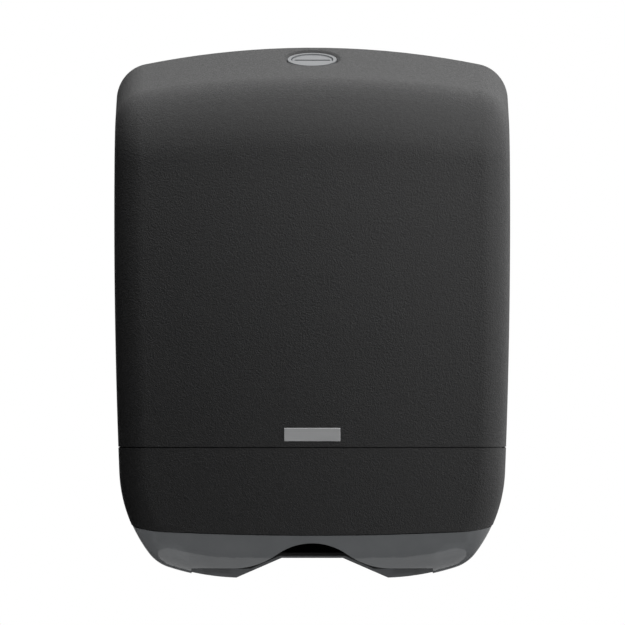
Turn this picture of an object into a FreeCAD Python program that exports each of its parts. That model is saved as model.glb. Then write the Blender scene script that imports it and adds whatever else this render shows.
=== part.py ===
import FreeCAD, Part
import math
import os
from FreeCAD import Vector

# A wall-mounted dispenser for folded paper hand towels, in millimetres.
# Each place is given by its distance right of the middle, its depth out from the wall and
# its height above the lowest face. +X is the viewer's right, the wall is the plane Y = 0 and
# the front faces -Y. The finished pieces are moved down so that the origin is the middle of
# the four wall screws.

# Outer form: the whole case seen from the front, and its section from wall to front
WIDTH = 290.0
HEIGHT = 391.5
DEPTH = 134.0
ROOF_SLOPE = 16.0
CROWN_R = 650.0
FRONT_R = 900.0
FRONT_FULLEST_Z = 190.0
ROLL_R = 65.0
EDGE_R = 26.0
SIDE_R = 5000.0
SIDE_WIDEST_Z = 270.0
LOWER_SIDE_R = 106.0
LOWER_SIDE_Z = 79.0
CORNER_R = 30.0
BOTTOM_R = 180.0
BOTTOM_FLAT = 50.0

# Cover: upper shell, lower band and the lap joints between them
COVER_WALL = 2.6
COVER_REAR = 1.5
PARTING_Z = 97.0
PARTING_GAP = 0.8
LAP_GAP = 0.3
LAP_WALL = 2.2
LAP_RISE = 8.0
LAP_ROOT = 6.0
COVER_EDGE_Z = 42.2
COVER_EDGE_FLAT = 60.0
COVER_EDGE_R = 203.0

# Smoky outlet tray under the cover
TRAY_INSET = 0.4
TRAY_WALL = 2.4
TRAY_REAR = 3.5
TRAY_GAP = 0.8
SLOT_SIDE = 56.5
SLOT_REAR = 34.0
SLOT_RIB_Z = 7.6
SLOT_RIB = 2.0
FOOT_Z = 8.4
ARCH_PEAK_Z = 27.0
ARCH_R = 44.0
ARCH_BLEND_R = 55.0
HUMP_Z = 15.0
HUMP_TOP_HALF = 22.5
HUMP_BASE_HALF = 57.0

# Hinge at the foot of the wall side
HINGE_DEPTH = 14.0
HINGE_Z = 8.0
HINGE_PIN_R = 2.0
PIN_CLEARANCE = 0.05
KNUCKLE_R = 4.5
KNUCKLE_X = 60.0
KNUCKLE_LENGTH = 13.5
EAR_R = 5.0
EAR_GAP = 0.8
EAR_WALL = 4.7
EAR_NOTCH_GAP = 0.5
EAR_NOTCH_FRONT = 7.0
EAR_ROOT = 18.0
EAR_FOOT = 6.0
PIN_HEAD_R = 3.2
PIN_HEAD = 1.2

# Wall chassis
PLATE = 2.5
PLATE_INSET = 6.6
PLATE_BOTTOM_Z = 24.0
PLATE_ROOF_GAP = 11.0
RIM = 2.0
RIM_DEPTH = 8.0
RIB = 1.6
RIB_DEPTH = 5.0
RIB_SPACING = 42.0
RIB_BOTTOM_Z = 84.0
RIB_TOP_GAP = 55.5
CHEEK_WALL = 2.5
CHEEK_SIDE_GAP = 21.5
CHEEK_DEPTH = 70.0
CHEEK_BOTTOM_Z = 52.0
CHEEK_TOP_GAP = 45.5
CHEEK_CORNER_R = 30.0
SCREW_CENTRE_Z = 215.0
SCREW_SPACING_X = 160.0
SCREW_SPACING_Z = 200.0
SCREW_HOLE_R = 2.75
SCREW_BOSS_R = 9.0
SCREW_BOSS_DEPTH = 4.0

# Shelf that carries the towels and leads them to the outlet
SHELF_WALL = 2.0
SHELF_TOP_Z = 44.0
SHELF_RIM_Z = 50.0
SHELF_SIDE_GAP = 2.0
SHELF_REAR = 2.8
SHELF_FRONT_GAP = 36.0
SHELF_CORNER = 8.0
MOUTH_TOP_Z = 19.0
MOUTH_BOTTOM_Z = 10.5
MOUTH_LAP = 1.5
MOUTH_REAR = 40.0
MOUTH_SETBACK = 3.0
MOUTH_CORNER = 5.0
SHELF_TAB_Z = 70.0
SHELF_TAB_SIDE = 23.0
SHELF_SCREW_Z = 61.0
SHELF_SCREW_SPACING = 70.0

# Thread-forming screws used inside
SCREW_R = 1.5
SCREW_HEAD_R = 2.9
SCREW_HEAD = 1.8
SCREW_SOCKET_R = 1.3
SCREW_SOCKET = 1.0
SCREW_FIT = 0.05
SCREW_REACH = 3.0

# Screwed joints between shell and band, and between band and tray
JOINT_BOSS_R = 3.6
JOINT_BOSS = 3.4
JOINT_GAP = 0.1
JOINT_TAB = 2.2
JOINT_TAB_HALF = 6.5
JOINT_RISE = 15.0
JOINT_TAB_RISE = 21.0
BAND_JOINT_SIDE = 61.0
TRAY_JOINT_SIDE = 73.0
TRAY_JOINT_MIDDLE = 26.0

# Badge plate on the front
BADGE_WIDTH = 41.0
BADGE_HEIGHT = 9.6
BADGE = 1.0
BADGE_Z = 106.5
BADGE_POCKET = 0.6
BADGE_CLEARANCE = 0.15

# Lock in the roof. Depths are measured down from the roof's outer face, square to it
LOCK_DEPTH = 30.0
DISH_R = 22.5
DISH = 2.5
RING_R = 18.0
RING_TOP = 0.9
RING_CLEARANCE = 0.1
LOCK_PAD_R = 30.0
LOCK_PAD = 7.0
LOCK_COLLAR = 2.2
LOCK_LUG_X = 24.0
LOCK_LUG_R = 4.6
LOCK_BORE_R = 15.6
LOCK_BODY_R = 17.2
LOCK_FLOOR = 2.0
ROTOR_R = 15.2
ROTOR_TOP = 1.6
ROTOR = 3.2
KEY_SLOT_LENGTH = 27.0
KEY_SLOT_WIDTH = 3.0
KEY_SLOT = 2.4
SPINDLE_R = 2.4
SPINDLE_END = 11.0
CLIP = 1.0
CLIP_R = 3.3
CLIP_GROOVE = 0.4
CLIP_OPENING = 2.6
FACE_GAP = 0.1
PISTON_R = 15.3
PISTON = 3.4
STEM_R = 6.0
STEM_BORE_R = 3.6
STEM_END = 28.0
STEM_CLEARANCE = 0.3
BUTTON_TRAVEL = 3.0
SPRING_ROOM = 4.2
SPRING_R = 10.5
SPRING_WIRE_R = 0.45
SPRING_TURNS = 3.0

# Latch under the lock, and its keeper on the chassis
LATCH_HALF = 5.5
LATCH = 3.2
LATCH_BUMP_R = 1.5
LATCH_GAP = 0.3
LATCH_PIVOT_U = 22.0
LATCH_REAR_U = -17.0
LATCH_BOSS_R = 4.2
LATCH_PIN_R = 2.0
LATCH_SPRING_X = 2.4
BRACKET_X = 8.0
BRACKET_WALL = 3.0
BRACKET_R = 4.6
TOOTH_GAP = 0.6
TOOTH = 4.4
TOOTH_BITE = 3.5
TOOTH_CHAMFER = 2.4
KEEPER_LIP_DEPTH = 12.0
KEEPER_LIP = 3.0
KEEPER_LIP_DROP = 33.0
KEEPER_ARM_DROP = 27.5
KEEPER_ARM = 3.0
KEEPER_HALF = 7.0
KEEPER_BASE = 2.0
KEEPER_BASE_HALF = 18.0
KEEPER_BASE_DROP = 45.5
KEEPER_BASE_HEIGHT = 27.0
KEEPER_SCREW_X = 12.5
KEEPER_SCREW_DROP = 32.5
TORSION_R = 3.1
TORSION_WIRE_R = 0.4
TORSION_TURNS = 3.0
TORSION_PITCH = 1.2
TORSION_LEG = 13.0
TORSION_PEG = 1.4
TORSION_BEND_R = 0.8

# Reach of the cutting bodies past what they cut
BEYOND = 40.0

# Places that follow from the sizes above
SLOT_HALF = WIDTH / 2 - SLOT_SIDE
CHEEK_X = WIDTH / 2 - CHEEK_SIDE_GAP - CHEEK_WALL
CHEEK_TOP_Z = HEIGHT - CHEEK_TOP_GAP
RIB_TOP_Z = HEIGHT - RIB_TOP_GAP
RIB_PLACES = [step * RIB_SPACING for step in (-2, -1, 1, 2)]
SHELF_HALF = CHEEK_X - SHELF_SIDE_GAP
SHELF_FRONT = DEPTH - SHELF_FRONT_GAP
SHELF_TAB_HALF = SHELF_HALF - SHELF_TAB_SIDE
SHELF_SCREW_PLACES = (-SHELF_SCREW_SPACING, 0.0, SHELF_SCREW_SPACING)
MOUTH_HALF = SLOT_HALF + MOUTH_LAP
MOUTH_FRONT = SHELF_FRONT - MOUTH_SETBACK
BAND_JOINT_X = WIDTH / 2 - BAND_JOINT_SIDE
BAND_JOINT_PLACES = [BAND_JOINT_X * share for share in (-1, -1 / 3, 1 / 3, 1)]
TRAY_JOINT_X = WIDTH / 2 - TRAY_JOINT_SIDE
TRAY_JOINT_PLACES = (-TRAY_JOINT_X, -TRAY_JOINT_MIDDLE, TRAY_JOINT_MIDDLE, TRAY_JOINT_X)
KEEPER_LIP_Z = HEIGHT - KEEPER_LIP_DROP
KEEPER_ARM_Z = HEIGHT - KEEPER_ARM_DROP
KEEPER_BASE_BOTTOM_Z = HEIGHT - KEEPER_BASE_DROP
KEEPER_SCREW_Z = HEIGHT - KEEPER_SCREW_DROP


def at(x, depth, height):
    return Vector(x, -depth, height)


def block(x0, x1, depth0, depth1, height0, height1):
    size = (x1 - x0, depth1 - depth0, height1 - height0)
    return Part.makeBox(*size, at(x0, depth1, height0))


def rod(radius, start, end):
    along = end.sub(start)
    return Part.makeCylinder(radius, along.Length, start, along)


def mirrored(shape):
    return shape.mirror(Vector(0, 0, 0), Vector(1, 0, 0))


def joined(shapes):
    whole = shapes[0].multiFuse(shapes[1:])
    return whole.removeSplitter()


def outward(centre, radius, through):
    """The point of a circle that lies in the direction of another point."""
    across, up = through[0] - centre[0], through[1] - centre[1]
    reach = math.hypot(across, up)
    return (centre[0] + across / reach * radius, centre[1] + up / reach * radius)


def arc_edge(centre, start, end, spot):
    """The short arc about a centre between two points of a plane."""
    radius = math.dist(centre, start)
    middle = outward(centre, radius, ((start[0] + end[0]) / 2, (start[1] + end[1]) / 2))
    return Part.Arc(spot(start), spot(middle), spot(end)).toShape()


def line_edge(start, end, spot):
    return Part.LineSegment(spot(start), spot(end)).toShape()


def front_spot(point):
    """A point (x, height) of the wall plane."""
    return at(point[0], 0, point[1])


def side_spot(point):
    """A point (depth, height) of the middle plane."""
    return at(0, point[0], point[1])


def side_prism(points, x0, x1):
    """A polygon of (depth, height) points, drawn out from x0 to x1."""
    corners = [at(x0, depth, height) for depth, height in points]
    return Part.Face(Part.makePolygon(corners + corners[:1])).extrude(Vector(x1 - x0, 0, 0))


def outline_edges(inset):
    """The right half of the front outline, as (centre, start, end) of each arc."""
    top = HEIGHT + BEYOND
    side = (WIDTH / 2 - SIDE_R, SIDE_WIDEST_Z)
    fall = math.asin((SIDE_WIDEST_Z - LOWER_SIDE_Z) / SIDE_R)
    join = (side[0] + SIDE_R * math.cos(fall), LOWER_SIDE_Z)
    low = (join[0] - LOWER_SIDE_R * math.cos(fall), join[1] + LOWER_SIDE_R * math.sin(fall))
    bottom = (BOTTOM_FLAT, BOTTOM_R)
    # The corner circle touches the lower side arc and the bottom arc from inside
    to_low, to_bottom = LOWER_SIDE_R - CORNER_R, BOTTOM_R - CORNER_R
    across, up = bottom[0] - low[0], bottom[1] - low[1]
    apart = math.hypot(across, up)
    along = (to_low**2 - to_bottom**2 + apart**2) / (2 * apart)
    off = math.sqrt(to_low**2 - along**2)
    corner = (
        low[0] + (along * across + off * up) / apart,
        low[1] + (along * up - off * across) / apart,
    )
    lean = math.asin((top - SIDE_WIDEST_Z) / (SIDE_R - inset))
    start = (side[0] + (SIDE_R - inset) * math.cos(lean), top)
    to_side = outward(side, SIDE_R - inset, join)
    to_corner = outward(corner, CORNER_R - inset, (2 * corner[0] - low[0], 2 * corner[1] - low[1]))
    past = (2 * corner[0] - bottom[0], 2 * corner[1] - bottom[1])
    to_foot = outward(corner, CORNER_R - inset, past)
    foot = (BOTTOM_FLAT, inset)
    return [
        (side, start, to_side),
        (low, to_side, to_corner),
        (corner, to_corner, to_foot),
        (bottom, to_foot, foot),
    ]


def outline_face(inset):
    """The front outline of the case, open past the roof, at a depth inside its outer face."""

    def left(point):
        return (-point[0], point[1])

    arcs = outline_edges(inset)
    foot, top = arcs[-1][2], arcs[0][1]
    edges = [arc_edge(centre, start, end, front_spot) for centre, start, end in arcs]
    edges.append(line_edge(foot, left(foot), front_spot))
    for centre, start, end in reversed(arcs):
        edges.append(arc_edge(left(centre), left(end), left(start), front_spot))
    edges.append(line_edge(left(top), top, front_spot))
    return Part.Face(Part.Wire(edges))


def crown_drop(x, radius):
    return radius - math.sqrt(radius**2 - x**2)


def roof_body(inset):
    """Everything under the crowned, sloping roof face."""
    slope = math.radians(ROOF_SLOPE)
    along = Vector(0, -math.cos(slope), -math.sin(slope))
    square = Vector(0, -math.sin(slope), math.cos(slope))
    start = at(0, 0, HEIGHT) - square * CROWN_R - along * HEIGHT
    return Part.makeCylinder(CROWN_R - inset, 3 * HEIGHT, start, along)


def front_body(inset):
    """Everything behind the crowned front face, a barrel about a level axis."""
    half = WIDTH / 2 + BEYOND / 2
    edge = DEPTH - inset - crown_drop(half, CROWN_R - inset)
    axis = DEPTH - FRONT_R
    high = FRONT_FULLEST_Z
    crown = Part.Arc(at(-half, edge, high), at(0, DEPTH - inset, high), at(half, edge, high))
    ring = [at(half, edge, high), at(half, axis, high), at(-half, axis, high), at(-half, edge, high)]
    face = Part.Face(Part.Wire([crown.toShape(), Part.makePolygon(ring)]))
    sweep = 2 * math.degrees(math.asin((HEIGHT + BEYOND) / 2 / FRONT_R)) + 10
    face.rotate(at(0, axis, high), Vector(1, 0, 0), -sweep / 2)
    return face.revolve(at(0, axis, high), Vector(1, 0, 0), sweep)


def edge_middle(edge):
    return edge.valueAt((edge.FirstParameter + edge.LastParameter) / 2)


ENVELOPES = {}


def envelope(inset):
    """The solid case, from the wall out to a parallel face inside its outer face."""
    if inset in ENVELOPES:
        return ENVELOPES[inset]
    prism = outline_face(inset).extrude(at(0, DEPTH + BEYOND, 0))
    solid = prism.common(roof_body(inset)).common(front_body(inset)).Solids[0]
    shoulder = [
        edge for edge in solid.Edges
        if abs(edge_middle(edge).x) < 1 and edge_middle(edge).y < -DEPTH / 2
        and edge_middle(edge).z > HEIGHT / 2
    ]
    solid = solid.makeFillet(ROLL_R - inset, shoulder)
    rounded = [
        edge for edge in solid.Edges
        if edge_middle(edge).y < -1
        and (abs(edge_middle(edge).x) > BOTTOM_FLAT or edge_middle(edge).z < HEIGHT / 8)
    ]
    solid = solid.makeFillet(EDGE_R - inset, rounded)
    ENVELOPES[inset] = solid
    return solid


def ring(outer, inner, low, high, rear):
    """A band of the case wall between two insets and two heights, open at the wall."""
    slab = block(-WIDTH, WIDTH, rear, DEPTH + BEYOND, low, high)
    return envelope(outer).common(slab).cut(envelope(inner))


def above_cover_edge(lift):
    """Everything above the cover's lower edge, which dips towards the front."""
    level = COVER_EDGE_Z + lift
    far = DEPTH + BEYOND / 4
    centre = (COVER_EDGE_FLAT, level - COVER_EDGE_R)
    dip = (far, centre[1] + math.sqrt(COVER_EDGE_R**2 - (far - COVER_EDGE_FLAT) ** 2))
    corners = [dip, (far, HEIGHT), (-BEYOND, HEIGHT), (-BEYOND, level), (COVER_EDGE_FLAT, level)]
    edges = [line_edge(a, b, side_spot) for a, b in zip(corners, corners[1:])]
    edges.append(arc_edge(centre, (COVER_EDGE_FLAT, level), dip, side_spot))
    prism = Part.Face(Part.Wire(edges)).extrude(Vector(2 * WIDTH, 0, 0))
    prism.translate(Vector(-WIDTH, 0, 0))
    return prism


def front_depth(x, height, inset):
    """How far out the front face stands at a place, that far inside the outer face."""
    across = FRONT_R - inset - crown_drop(x, CROWN_R - inset)
    return DEPTH - FRONT_R + math.sqrt(across**2 - (height - FRONT_FULLEST_Z) ** 2)


def joint_face(x, height):
    """The depth of the plane where a joint's tab meets its boss."""
    return front_depth(x, height, COVER_WALL) - JOINT_BOSS


def joint_bosses(places, height):
    """Bosses on the inside of a front wall, with their screw holes."""
    bosses = []
    for x in places:
        face = joint_face(x, height)
        root = front_depth(x, height, COVER_WALL / 2)
        boss = rod(JOINT_BOSS_R, at(x, face, height), at(x, root, height))
        hole = rod(SCREW_R + SCREW_FIT, at(x, face, height), at(x, face + SCREW_REACH, height))
        bosses.append(boss.cut(hole))
    return bosses


def joint_tabs(places, lap_z, height):
    """Tabs that stand up behind a lap and take the screws."""
    tabs = []
    for x in places:
        front = joint_face(x, height) - JOINT_GAP
        rear = front - JOINT_TAB
        lap = front_depth(x, lap_z, COVER_WALL + LAP_GAP)
        left, right = x - JOINT_TAB_HALF, x + JOINT_TAB_HALF
        tab = block(left, right, rear, front, lap_z - LAP_ROOT, lap_z + JOINT_TAB_RISE)
        foot_top = lap_z + LAP_RISE
        foot = block(left, right, rear, lap - LAP_WALL / 2, lap_z - LAP_ROOT, foot_top)
        hole = rod(SCREW_R + SCREW_FIT, at(x, rear, height), at(x, front, height))
        tabs.append(tab.fuse(foot).cut(hole).common(envelope(COVER_WALL + LAP_GAP)))
    return tabs


def joint_screws(places, height):
    screws = []
    for x in places:
        seat = joint_face(x, height) - JOINT_GAP - JOINT_TAB
        screws.append(panhead_screw(at(x, seat, height), at(0, 1, 0), JOINT_TAB + SCREW_REACH))
    return Part.makeCompound(screws)


def panhead_screw(seat, direction, length):
    """A screw whose head rests on its seat and whose shank runs along a direction."""
    along = Vector(direction).normalize()
    head = Part.makeCylinder(SCREW_HEAD_R, SCREW_HEAD, seat, along * -1)
    shank = Part.makeCylinder(SCREW_R, length - JOINT_GAP, seat, along)
    top, side = seat - along * SCREW_HEAD, Vector(1, 0, 0)
    angles = [math.pi * corner / 3 for corner in range(7)]
    hexagon = [top + (side * math.cos(a) + along.cross(side) * math.sin(a)) * SCREW_SOCKET_R for a in angles]
    socket = Part.Face(Part.makePolygon(hexagon)).extrude(along * SCREW_SOCKET)
    return head.fuse(shank).cut(socket)


def in_lock_frame(shape):
    """Moves a shape drawn with +Z out of the roof and -Y forwards down its slope."""
    placed = shape.copy()
    placed.rotate(Vector(0, 0, 0), Vector(1, 0, 0), ROOF_SLOPE)
    placed.translate(at(0, LOCK_DEPTH, HEIGHT - LOCK_DEPTH * math.tan(math.radians(ROOF_SLOPE))))
    return placed


def lock_disc(radius, top, bottom, x=0.0, forward=0.0):
    """A disc of the lock between two depths under the roof's outer face."""
    return Part.makeCylinder(radius, bottom - top, Vector(x, -forward, -bottom))


def lock_prism(points, x0, x1):
    """A polygon of (forward, depth under the roof) points, drawn out from x0 to x1."""
    corners = [Vector(x0, -forward, -under) for forward, under in points]
    return Part.Face(Part.makePolygon(corners + corners[:1])).extrude(Vector(x1 - x0, 0, 0))


def badge_frame(shape):
    """Moves a shape drawn with +Z out of the front to the badge's place."""
    placed = shape.copy()
    lean = math.degrees(math.asin((BADGE_Z - FRONT_FULLEST_Z) / FRONT_R))
    placed.rotate(Vector(0, 0, 0), Vector(1, 0, 0), 90 - lean)
    placed.translate(at(0, front_depth(0, BADGE_Z, 0), BADGE_Z))
    return placed


def cover_shell():
    low = PARTING_Z + PARTING_GAP / 2
    pad = in_lock_frame(lock_disc(LOCK_PAD_R, 0, LOCK_PAD)).common(envelope(COVER_WALL / 2))
    wall = ring(0.0, COVER_WALL, low, HEIGHT + BEYOND, COVER_REAR)
    rear_cut = block(-WIDTH, WIDTH, -BEYOND, COVER_REAR, 0, HEIGHT + BEYOND)
    bosses = joint_bosses(BAND_JOINT_PLACES, PARTING_Z + JOINT_RISE)
    shell = joined([wall, pad.cut(rear_cut)] + bosses)
    slope = (DISH_R - RING_R) / DISH
    dish = Part.makeCone(RING_R, DISH_R + slope, DISH + 1, Vector(0, 0, -DISH))
    opening = lock_disc(RING_R + RING_CLEARANCE, -1, LOCK_PAD + 1)
    holes = [dish, opening]
    for side in (-1, 1):
        reach = LOCK_PAD - COVER_WALL / 2
        holes.append(lock_disc(SCREW_R + SCREW_FIT, reach / 3, LOCK_PAD + 1, x=side * LOCK_LUG_X))
    for hole in holes:
        shell = shell.cut(in_lock_frame(hole))
    pocket = Part.makeBox(
        BADGE_WIDTH + 2 * BADGE_CLEARANCE,
        BADGE_HEIGHT + 2 * BADGE_CLEARANCE,
        2 * BADGE_POCKET,
        Vector(-BADGE_WIDTH / 2 - BADGE_CLEARANCE, -BADGE_HEIGHT / 2 - BADGE_CLEARANCE, -BADGE_POCKET),
    )
    return shell.cut(badge_frame(pocket))


def cover_band():
    high = PARTING_Z - PARTING_GAP / 2
    lap = COVER_WALL + LAP_GAP
    wall = ring(0.0, COVER_WALL, 0, high, COVER_REAR).common(above_cover_edge(0))
    root = ring(COVER_WALL / 2, lap + LAP_WALL, PARTING_Z - LAP_ROOT, high, COVER_REAR)
    lip = ring(lap, lap + LAP_WALL, PARTING_Z - LAP_ROOT, PARTING_Z + LAP_RISE, COVER_REAR)
    tabs = joint_tabs(BAND_JOINT_PLACES, PARTING_Z, PARTING_Z + JOINT_RISE)
    bosses = joint_bosses(TRAY_JOINT_PLACES, COVER_EDGE_Z + JOINT_RISE)
    return joined([wall, root, lip] + tabs + bosses)


def band_screws():
    return joint_screws(BAND_JOINT_PLACES, PARTING_Z + JOINT_RISE)


def tray_screws():
    return joint_screws(TRAY_JOINT_PLACES, COVER_EDGE_Z + JOINT_RISE)


def arch_prism(half, foot, peak, front, rear):
    """The outlet seen from the front: level at both ends, arched in the middle."""
    arch = (0.0, peak - ARCH_R)
    blend_z = foot + ARCH_BLEND_R
    blend_x = math.sqrt((ARCH_R + ARCH_BLEND_R) ** 2 - (blend_z - arch[1]) ** 2)
    touch = outward(arch, ARCH_R, (blend_x, blend_z))
    right = [(half, -BEYOND), (half, foot), (blend_x, foot)]
    edges = [line_edge(a, b, front_spot) for a, b in zip(right, right[1:])]
    edges.append(arc_edge((blend_x, blend_z), (blend_x, foot), touch, front_spot))
    left = [(-x, z) for x, z in right]
    edges.append(arc_edge(arch, touch, (-touch[0], touch[1]), front_spot))
    edges.append(arc_edge((-blend_x, blend_z), (-touch[0], touch[1]), left[2], front_spot))
    edges += [line_edge(a, b, front_spot) for a, b in zip(left[::-1], left[-2::-1])]
    edges.append(line_edge(left[0], right[0], front_spot))
    prism = Part.Face(Part.Wire(edges)).extrude(at(0, front - rear, 0))
    prism.translate(at(0, rear, 0))
    return prism


def hump_prism(wall, front, rear):
    """The raised middle of the tray's floor, grown outwards by a wall."""
    lean = math.atan2(HUMP_Z, HUMP_BASE_HALF - HUMP_TOP_HALF)
    top = HUMP_TOP_HALF + wall * math.tan(lean / 2)
    run = (HUMP_BASE_HALF - HUMP_TOP_HALF) / HUMP_Z
    base = HUMP_BASE_HALF + wall / math.sin(lean) + run * BEYOND
    points = [(-base, -BEYOND), (-top, HUMP_Z + wall), (top, HUMP_Z + wall), (base, -BEYOND)]
    corners = [at(x, rear, z) for x, z in points]
    return Part.Face(Part.makePolygon(corners + corners[:1])).extrude(at(0, front - rear, 0))


def tray_knuckle():
    """One hinge knuckle with its web down to the tray's floor."""
    end = KNUCKLE_X + KNUCKLE_LENGTH
    barrel = rod(KNUCKLE_R, at(KNUCKLE_X, HINGE_DEPTH, HINGE_Z), at(end, HINGE_DEPTH, HINGE_Z))
    rear, front = HINGE_DEPTH - KNUCKLE_R, HINGE_DEPTH + KNUCKLE_R
    web = block(KNUCKLE_X, end, rear, front, 0, HINGE_Z).common(envelope(TRAY_INSET))
    return barrel.fuse(web)


def outlet_tray():
    inner = TRAY_INSET + TRAY_WALL
    lap = COVER_WALL + LAP_GAP
    tall = COVER_EDGE_Z + LAP_RISE
    lip_zone = above_cover_edge(-LAP_ROOT).cut(above_cover_edge(LAP_RISE))
    root_zone = above_cover_edge(-LAP_ROOT).cut(above_cover_edge(-TRAY_GAP))
    wall = ring(TRAY_INSET, inner, -1, tall, TRAY_REAR).cut(above_cover_edge(-TRAY_GAP))
    root = ring(TRAY_INSET, lap + LAP_WALL, -1, tall, TRAY_REAR).common(root_zone)
    lip = ring(lap, lap + LAP_WALL, -1, tall, TRAY_REAR).common(lip_zone)
    hump = hump_prism(TRAY_WALL, SLOT_REAR, TRAY_REAR).common(envelope(TRAY_INSET))
    rib_half = SLOT_HALF + SLOT_RIB
    rib = block(-rib_half, rib_half, SLOT_REAR - SLOT_RIB, SLOT_REAR, 0, SLOT_RIB_Z)
    knuckle = tray_knuckle()
    tabs = joint_tabs(TRAY_JOINT_PLACES, COVER_EDGE_Z, COVER_EDGE_Z + JOINT_RISE)
    solids = [wall, root, lip, hump, rib.common(envelope(TRAY_INSET)), knuckle, mirrored(knuckle)]
    tray = joined(solids + tabs)
    tray = tray.cut(hump_prism(0, SLOT_REAR + 1, -BEYOND))
    tray = tray.cut(arch_prism(SLOT_HALF, FOOT_Z, ARCH_PEAK_Z, DEPTH + BEYOND, SLOT_REAR))
    ear = KNUCKLE_X + KNUCKLE_LENGTH + EAR_GAP
    notch_end = ear + EAR_WALL + PIN_HEAD + 2 * EAR_NOTCH_GAP
    notch_front = HINGE_DEPTH + EAR_NOTCH_FRONT
    notch = block(ear - EAR_NOTCH_GAP, notch_end, -BEYOND, notch_front, -1, HINGE_Z + EAR_R)
    start, end = at(KNUCKLE_X, HINGE_DEPTH, HINGE_Z), at(ear, HINGE_DEPTH, HINGE_Z)
    bore = rod(HINGE_PIN_R + PIN_CLEARANCE, start, end)
    for tool in (notch, bore):
        tray = tray.cut(tool).cut(mirrored(tool))
    return tray


def hinge_pin():
    start = at(KNUCKLE_X + 1, HINGE_DEPTH, HINGE_Z)
    ear_end = KNUCKLE_X + KNUCKLE_LENGTH + EAR_GAP + EAR_WALL
    seat = at(ear_end, HINGE_DEPTH, HINGE_Z)
    tip = at(ear_end + PIN_HEAD, HINGE_DEPTH, HINGE_Z)
    return rod(HINGE_PIN_R, start, seat).fuse(rod(PIN_HEAD_R, seat, tip))


def hinge_ear():
    """An arm of the chassis that comes down to the hinge axis."""
    start = KNUCKLE_X + KNUCKLE_LENGTH + EAR_GAP
    end = start + EAR_WALL
    reach = EAR_R * 0.8
    arm = [
        (0, PLATE_BOTTOM_Z + EAR_ROOT),
        (0, PLATE_BOTTOM_Z - EAR_FOOT),
        (HINGE_DEPTH - reach, HINGE_Z - EAR_R + reach / 2),
        (HINGE_DEPTH + reach, HINGE_Z + EAR_R - reach / 2),
        (PLATE + 2, PLATE_BOTTOM_Z + EAR_ROOT),
    ]
    boss = rod(EAR_R, at(start, HINGE_DEPTH, HINGE_Z), at(end, HINGE_DEPTH, HINGE_Z))
    bore = rod(HINGE_PIN_R + PIN_CLEARANCE, at(start, HINGE_DEPTH, HINGE_Z), at(end, HINGE_DEPTH, HINGE_Z))
    return side_prism(arm, start, end).fuse(boss).cut(bore)


def cheek():
    """A side wall of the chassis that keeps the towels in line."""
    inner, outer = CHEEK_X, CHEEK_X + CHEEK_WALL
    plate = block(inner, outer, 0, CHEEK_DEPTH, CHEEK_BOTTOM_Z, CHEEK_TOP_Z)
    corners = [
        edge for edge in plate.Edges
        if edge_middle(edge).y < -CHEEK_DEPTH + 1 and edge.Length < 2 * CHEEK_WALL
    ]
    return plate.makeFillet(CHEEK_CORNER_R, corners)


def back_plate():
    form = envelope(PLATE_INSET).common(roof_body(PLATE_ROOF_GAP))
    plate = form.common(block(-WIDTH, WIDTH, 0, PLATE, PLATE_BOTTOM_Z, HEIGHT))
    rim = form.common(block(-WIDTH, WIDTH, 0, RIM_DEPTH, PLATE_BOTTOM_Z, HEIGHT))
    inner = envelope(PLATE_INSET + RIM).common(roof_body(PLATE_ROOF_GAP + RIM))
    solids = [plate, rim.cut(inner)]
    for x in RIB_PLACES:
        solids.append(block(x - RIB / 2, x + RIB / 2, 0, RIB_DEPTH, RIB_BOTTOM_Z, RIB_TOP_Z))
    holes = []
    for side in (-1, 1):
        for row in (-1, 1):
            x = side * SCREW_SPACING_X / 2
            height = SCREW_CENTRE_Z + row * SCREW_SPACING_Z / 2
            solids.append(rod(SCREW_BOSS_R, at(x, 0, height), at(x, SCREW_BOSS_DEPTH, height)))
            holes.append(rod(SCREW_HOLE_R, at(x, 0, height), at(x, RIM_DEPTH, height)))
    for piece in (cheek(), hinge_ear()):
        solids += [piece, mirrored(piece)]
    for x in SHELF_SCREW_PLACES:
        holes.append(rod(SCREW_R + SCREW_FIT, at(x, 0, SHELF_SCREW_Z), at(x, PLATE, SHELF_SCREW_Z)))
    for side in (-1, 1):
        x = side * KEEPER_SCREW_X
        holes.append(rod(SCREW_R + SCREW_FIT, at(x, 0, KEEPER_SCREW_Z), at(x, PLATE, KEEPER_SCREW_Z)))
    return joined(solids).cut(Part.makeCompound(holes))


def shelf_ring(half, rear, front, corner, height):
    """The corners of a level rectangle whose own corners are cut off."""
    right = [
        at(half - corner, front, height), at(half, front - corner, height),
        at(half, rear + corner, height), at(half - corner, rear, height),
    ]
    return right + [Vector(-point.x, point.y, point.z) for point in reversed(right)]


def shelf_body(inside):
    """The funnel as a flat-faced solid, drawn in by the distance given."""
    narrower = inside * (2 - math.sqrt(2))
    lift = BEYOND if inside else 0
    mouth = (MOUTH_HALF - inside, MOUTH_REAR + inside, MOUTH_FRONT - inside, MOUTH_CORNER - narrower)
    top = (SHELF_HALF - inside, SHELF_REAR + inside, SHELF_FRONT - inside, SHELF_CORNER - narrower)
    rings = [
        shelf_ring(*mouth, MOUTH_BOTTOM_Z - lift),
        shelf_ring(*mouth, MOUTH_TOP_Z),
        shelf_ring(*top, SHELF_TOP_Z),
        shelf_ring(*top, SHELF_RIM_Z + lift),
    ]
    outlines = [rings[0], rings[-1]]
    for low, high in zip(rings, rings[1:]):
        for i, j in zip(range(8), [1, 2, 3, 4, 5, 6, 7, 0]):
            outlines.append([low[i], low[j], high[j], high[i]])
    faces = [Part.Face(Part.makePolygon(points + points[:1])) for points in outlines]
    shell = Part.Shell(faces)
    return Part.Solid(shell)


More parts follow.
